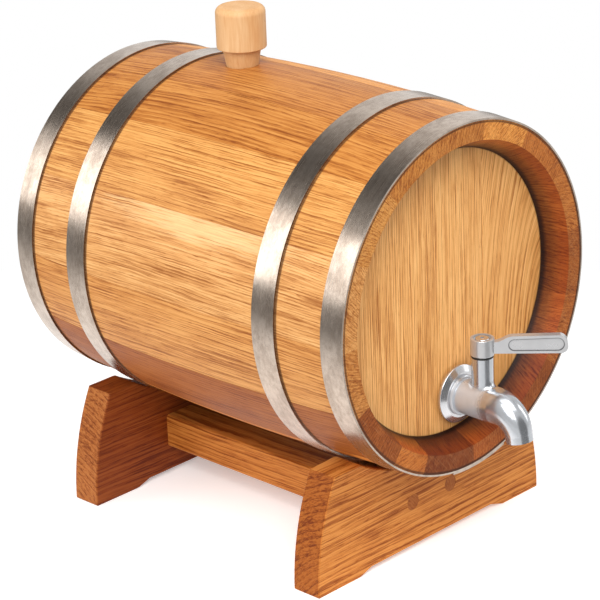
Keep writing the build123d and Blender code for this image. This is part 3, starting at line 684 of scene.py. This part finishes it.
front_pith = (-0.035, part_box("front_cradle_board")[0].y - 0.030)
rear_pith = (-0.045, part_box("rear_cradle_board")[1].y + 0.020)
front_oak = stand_finish(
    "oak_front_board", "xzy", 51.0, 3.8 * MM, front_pith, STAND_TONES, STAND_CONTRAST
)
rear_oak = stand_finish(
    "oak_rear_board", "xzy", 55.0, 3.6 * MM, rear_pith, REAR_TONES_AND_SHADE, 1.8, REAR_END_LIFT
)
stretcher_oak = stand_finish(
    "oak_stretcher", "yxz", 59.0, 3.2 * MM, (-0.06, -0.03), STRETCHER_TONES, 1.9
)
dowel_oak = stand_finish(
    "oak_dowels", "yxz", 63.0, 1.6 * MM, (-0.05, 0.0), DOWEL_TONES, 0.8, DOWEL_END_TINT
)
dress(front_oak, "front_cradle_board")
dress(rear_oak, "rear_cradle_board")
dress(stretcher_oak, "stretcher")
dress(dowel_oak, "stand_dowels", "front_head_dowels", "rear_head_dowels")
print("stand dressed, front pith at", front_pith)

# %% [markdown]
# ## Bung
# The bung is turned from pale, close grained wood. It has hardly any figure, only a faint
# warm cloud, short fibres that stand upright and a few dark specks.

# %% Bung
BUNG_STOPS = [(0.0, shade(220, 182, 136)), (0.5, shade(206, 156, 104)), (1.0, shade(182, 126, 74))]
SPECK_TONE = shade(128, 74, 34)


def bung_finish():
    sheet = blank("bung_wood")
    x, y, z = parts_of(sheet, position(sheet))
    place = joined(sheet, z, x, y)
    cloud = noise(sheet, place, (0.05, 0.012, 0.012), 71.0, 2.0)
    fibre = noise(sheet, place, (0.014, 0.0012, 0.0012), 72.0, 3.0, 0.6)
    speck = noise(sheet, place, (0.0040, 0.0011, 0.0011), 73.0, 1.0)
    speck = between(sheet, speck, 0.76, 0.84)
    depth = 0.35 + (cloud - 0.5) * 0.9 + (fibre - 0.5) * 0.8
    colour = sheet.add("ShaderNodeValToRGB", {"stops": BUNG_STOPS}, {"Fac": depth})
    values = {
        "Base Color": blend(sheet, speck, colour, SPECK_TONE),
        "Roughness": 0.62,
        "Normal": bump(sheet, fibre, 0.10 * MM),
        "Specular IOR Level": 0.35,
    }
    return sheet.finish(values)


dress(bung_finish(), "bung")
print("bung dressed")

# %% [markdown]
# ## Hoops
# A hoop is stainless strip, brushed along its length. Brushing is thousands of scratches
# round the barrel, so the height changes quickly along Y and slowly round the axis. Driving
# the hoop on has left it slightly wavy, which breaks its long reflections, and handling has
# left warm stains and a few nicks.

# %% Hoops
STEEL_BRIGHT, STEEL_WORN = shade(194, 179, 165), shade(160, 144, 130)
NICK_TONE = shade(86, 78, 72)
HOOP_RELIEF = 0.06 * MM


def hoop_finish():
    sheet = blank("hoop_steel")
    place = barrel_place(sheet)[0]
    lines = noise(sheet, place, (0.00030, 0.06, 0.06), 81.0, 2.0, 0.6)
    waves = noise(sheet, place, (0.010, 0.014, 0.014), 85.0, 2.0)
    broad = noise(sheet, place, (0.0025, 0.09, 0.09), 82.0, 2.0)
    stain = noise(sheet, place, (0.012, 0.02, 0.02), 83.0, 3.0, 0.6)
    mottle = noise(sheet, place, (0.0022, 0.004, 0.004), 86.0, 3.0, 0.65)
    nick = noise(sheet, place, (0.0016, 0.0022, 0.0022), 84.0, 1.0)
    nick = between(sheet, nick, 0.80, 0.86)
    worn = between(sheet, stain * 0.6 + mottle * 0.4, 0.34, 0.68)
    tint = blend(sheet, worn, STEEL_BRIGHT, STEEL_WORN)
    unevenness = (lines - 0.5) + (broad - 0.5) + (stain - 0.5)
    values = {
        "Base Color": blend(sheet, nick * 0.8, tint, NICK_TONE),
        "Metallic": 1.0,
        "Roughness": 0.25 + unevenness * 0.12,
        "Normal": bump(sheet, lines * 0.16 + broad * 0.2 + waves * 1.2, HOOP_RELIEF),
    }
    return sheet.finish(values)


dress(hoop_finish(), *hoop_names, "hoop_rivets")
print("hoops dressed:", len(hoop_names))

# %% [markdown]
# ## Spigot
# The spigot is cast and then polished. The spout and the stem are easy to reach with the
# wheel and mirror the room. The tail, close to the head, stays satin: it is rougher, and a
# lower metallic value lets it keep its own pale grey beside the orange of the wood. A mask
# made from the distance to the stem parts the two.

# %% Spigot
SATIN_FROM, SATIN_TO = 9 * MM, 1 * MM  # in front of the stem: where satin begins and is full
SATIN_TOP, SATIN_FULL = 13 * MM, 8 * MM  # above the tail's axis: where it ends and is full
SATIN_ROUGHNESS, SATIN_DULLNESS = 0.12, 0.44

stem_low, stem_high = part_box("stem_seal_ring")
flange_low, flange_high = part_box("spigot_flange")
stem_place = (stem_low + stem_high) / 2
stem_place.z = (flange_low.z + flange_high.z) / 2


def spigot_finish(name, pale, dull, metallic, satin_tail=0.0):
    sheet = blank(name)
    place = position(sheet)
    y, z = parts_of(sheet, place)[1:]
    tail = between(sheet, y, stem_place.y - SATIN_FROM, stem_place.y - SATIN_TO)
    below = between(sheet, z, stem_place.z + SATIN_TOP, stem_place.z + SATIN_FULL)
    tail = tail * below * satin_tail
    lines = noise(sheet, place, (0.006, 0.006, 0.0004), 91.0, 2.0)
    cloud = noise(sheet, place, (0.009, 0.009, 0.009), 92.0, 2.0)
    unevenness = (lines - 0.5) + (cloud - 0.5)
    values = {
        "Base Color": blend(sheet, cloud, pale, dull),
        "Metallic": metallic - tail * SATIN_DULLNESS,
        "Roughness": 0.20 + unevenness * 0.05 + tail * SATIN_ROUGHNESS,
    }
    return sheet.finish(values)


body_steel = spigot_finish("body_steel", shade(208, 211, 215), shade(186, 189, 193), 0.86, 1.0)
trim_steel = spigot_finish("trim_steel", shade(220, 220, 222), shade(204, 204, 206), 0.9)
dress(body_steel, "spigot_body")
dress(trim_steel, "spigot_flange", "spigot_lock_nut", "valve_core", "lever_screw")
print("spigot dressed round a stem at", stem_place)

# %% [markdown]
# ## Lever
# The blade has a long sunk panel on each side, round at both ends and a little wider at the tip.
# Its edge gets painted shade as a dark line. The line follows the panel's outline: all points that
# are equally far from a short straight run, which swells towards the tip.
# The nearest point on that run is a share of it, kept between 0 and 1.

# %% Lever
LEVER_WAY = math.radians(-50)  # where the lever points at rest, seen from above, from +X
PANEL_START, PANEL_END = Vector((0.0184, 0.03545)), Vector((0.04285, 0.03585))  # (out, up)
PANEL_RADIUS, PANEL_GROWTH = 3.35 * MM, 0.4 * MM
LINE_FULL, LINE_GONE = 0.12 * MM, 0.45 * MM  # half widths of the dark line
PANEL_SHADE_TONE = shade(70, 70, 72)


def panel_shade_line(sheet):
    """A dark line of painted shade round the sunk panel of the lever."""
    x, y, z = parts_of(sheet, position(sheet))
    out = (x - stem_place.x) * math.cos(LEVER_WAY) + (y - stem_place.y) * math.sin(LEVER_WAY)
    up = z - stem_place.z
    run = PANEL_END - PANEL_START
    share = (out - PANEL_START.x) * (run.x / run.length_squared)
    share = share + (up - PANEL_START.y) * (run.y / run.length_squared)
    share = sheet.add("ShaderNodeClamp", {}, {"Value": share})
    off_out = out - PANEL_START.x - share * run.x
    off_up = up - PANEL_START.y - share * run.y
    distance = (off_out * off_out + off_up * off_up) ** 0.5
    far = distance - PANEL_RADIUS - share * PANEL_GROWTH
    return 1 - between(sheet, abs(far), LINE_FULL, LINE_GONE)


def lever_finish():
    sheet = blank("lever_steel")
    cloud = noise(sheet, position(sheet), (0.009, 0.009, 0.009), 93.0, 2.0)
    colour = blend(sheet, cloud, shade(200, 200, 201), shade(184, 184, 185))
    values = {
        # a dark line of painted shade round the sunk panel
        "Base Color": blend(sheet, panel_shade_line(sheet) * 0.75, colour, PANEL_SHADE_TONE),
        "Metallic": 0.6,
        "Roughness": 0.28 + (cloud - 0.5) * 0.05,
    }
    return sheet.finish(values)


dress(lever_finish(), "lever")
print("lever dressed, its panel", round((PANEL_END - PANEL_START).length / MM, 1), "mm long")

# %% [markdown]
# ## Seals
# The seals are plain black rubber: a dull, slightly grainy skin.

# %% Seals
def rubber_finish():
    sheet = blank("seal_rubber")
    grain = noise(sheet, position(sheet), (0.0004, 0.0004, 0.0004), 95.0, 2.0)
    values = {
        "Base Color": blend(sheet, grain, shade(18, 18, 18), shade(34, 33, 32)),
        "Roughness": 0.55 + (grain - 0.5) * 0.3,
        "Normal": bump(sheet, grain, 0.03 * MM),
    }
    return sheet.finish(values)


seal_names = ("spigot_outer_washer", "spigot_inner_washer", "valve_o_rings", "stem_seal_ring")
dress(rubber_finish(), *seal_names)
print("seals dressed:", len(seal_names))

# %% [markdown]
# ## Table
# A catalogue shot stands on a white sweep. Here it is a round table top, whose paper glows faintly
# of its own even under the barrel, which lightens the shadows there, and glows fully towards the
# rim, so that it runs into the white behind it without an edge. It is kept small, because the
# spigot mirrors what lies beyond it.

# %% Table
TABLE_RADIUS, TABLE_BACK = 0.42, 0.08  # and how far its middle is set back
TABLE_STEPS = 96
PAPER, PAPER_OUT = (0.9, 0.9, 0.9), (0.03, 0.03, 0.03)  # in the middle, and at the rim
GLOW, GLOW_OUT = (0.34, 0.34, 0.34), (1.0, 1.0, 1.0)
GLOW_FROM, GLOW_TO = 0.15, 0.40

table_mesh = bpy.data.meshes.new("floor")
angles = [math.tau * step / TABLE_STEPS for step in range(TABLE_STEPS)]
rim_points = [
    (TABLE_RADIUS * math.cos(angle), TABLE_BACK + TABLE_RADIUS * math.sin(angle), 0)
    for angle in angles
]
table_mesh.from_pydata(rim_points, [], [range(TABLE_STEPS)])
table = bpy.data.objects.new("floor", table_mesh)
bpy.context.scene.collection.objects.link(table)

table_sheet = blank("studio_floor")
table_x, table_y = parts_of(table_sheet, position(table_sheet))[:2]
back = table_y - TABLE_BACK
from_middle = (table_x * table_x + back * back) ** 0.5
outward = between(table_sheet, from_middle, GLOW_FROM, GLOW_TO)
table_values = {
    "Base Color": blend(table_sheet, outward, PAPER, PAPER_OUT),
    "Roughness": 0.9,
    "Emission Color": blend(table_sheet, outward, GLOW, GLOW_OUT),
    "Emission Strength": 1.0,
}
table_mesh.materials.append(table_sheet.finish(table_values))
print("table laid:", 2 * TABLE_RADIUS, "m across")

# %% [markdown]
# ## Lights
# Wood wants soft light from all sides. Brushed steel needs something to mirror, though. The
# left box, behind the barrel's shoulder, draws the long bright patch on every hoop. The key
# box lights the front head and the staves, and the top and right boxes open the shadows.

# %% Lights
def soft_box(name, direction, distance, width, height, power):
    """A large rectangular light that looks at the barrel from a direction."""
    light = bpy.data.lights.new(name, "AREA")
    light.shape = "RECTANGLE"
    light.size, light.size_y = width, height
    light.energy = power
    lamp = bpy.data.objects.new(name, light)
    way = Vector(direction).normalized()
    aim = (-way).to_track_quat("-Z", "Y").to_matrix().to_4x4()
    lamp.matrix_world = Matrix.Translation(barrel_centre + way * distance) @ aim
    bpy.context.scene.collection.objects.link(lamp)


# name: direction from the barrel, distance, width, height, watts
SOFT_BOXES = {
    "left_box": ((-0.70, 0.66, 0.355), 1.3, 0.9, 0.78, 6.3),
    "key_box": ((-0.75, -0.65, 0.80), 1.7, 0.9, 0.9, 21),
    "top_box": ((-0.1, -0.45, 1.0), 1.6, 1.2, 0.9, 10),
    "right_box": ((0.9, -0.5, 0.35), 1.8, 0.5, 1.0, 3),
}
for name, values in SOFT_BOXES.items():
    soft_box(name, *values)
print("lights hung:", ", ".join(SOFT_BOXES))

# %% [markdown]
# ## The air round the set
# The world is what the steel mirrors, and a real studio is brighter here and darker there.
# Behind the barrel it is dark overhead and gets brighter to the right, so that a hoop has
# dark bands beside its bright patch. In front, a dark gap between the lights draws the dark
# streak of the spout. The lens itself sees plain white, like the paper.

# %% Air
OVERHEAD, OVERHEAD_RIGHT, OVERHEAD_LEFT = 0.13, 1.0, 0.3  # strengths behind, above the horizon
LOW_BEHIND, LOW_RISE = 0.28, 0.62  # strengths behind, below it
FRONT, FRONT_LOW = 0.66, 0.24
GAP_DEPTH = 0.86

world = bpy.data.worlds.new("studio")
bpy.context.scene.world = world
air = Sheet(world)
way_x, way_y, way_z = parts_of(air, air.add("ShaderNodeTexCoord", {}, {}))
behind = between(air, way_y, -0.1, 0.45)
low = between(air, way_z, 0.04, -0.06)
gap = between(air, way_y, -0.78, -0.88)
front_glow = (FRONT + low * FRONT_LOW) * (1 - gap * GAP_DEPTH)
right, left = between(air, way_x, -0.12, 0.72), between(air, way_x, -0.2, -0.6)
high_back = OVERHEAD + right * OVERHEAD_RIGHT + left * OVERHEAD_LEFT
low_back = LOW_BEHIND + between(air, way_z, -0.22, -0.40) * LOW_RISE
back_glow = high_back + (low_back - high_back) * low
strength = front_glow * (1 - behind) + back_glow * behind
lit = air.add("ShaderNodeBackground", {}, {"Color": (1, 1, 1), "Strength": strength})
white = air.add("ShaderNodeBackground", {}, {"Color": (1, 1, 1), "Strength": 1.0})
seen = air.add("ShaderNodeLightPath", {}, {})
chosen = air.add("ShaderNodeMixShader", {}, {0: seen, 1: lit, 2: white})
air.put(air.tree.nodes["World Output"].inputs["Surface"], chosen)
bpy.context.scene.view_settings.view_transform = "Standard"
print("air lit with", len(air.tree.nodes), "nodes")
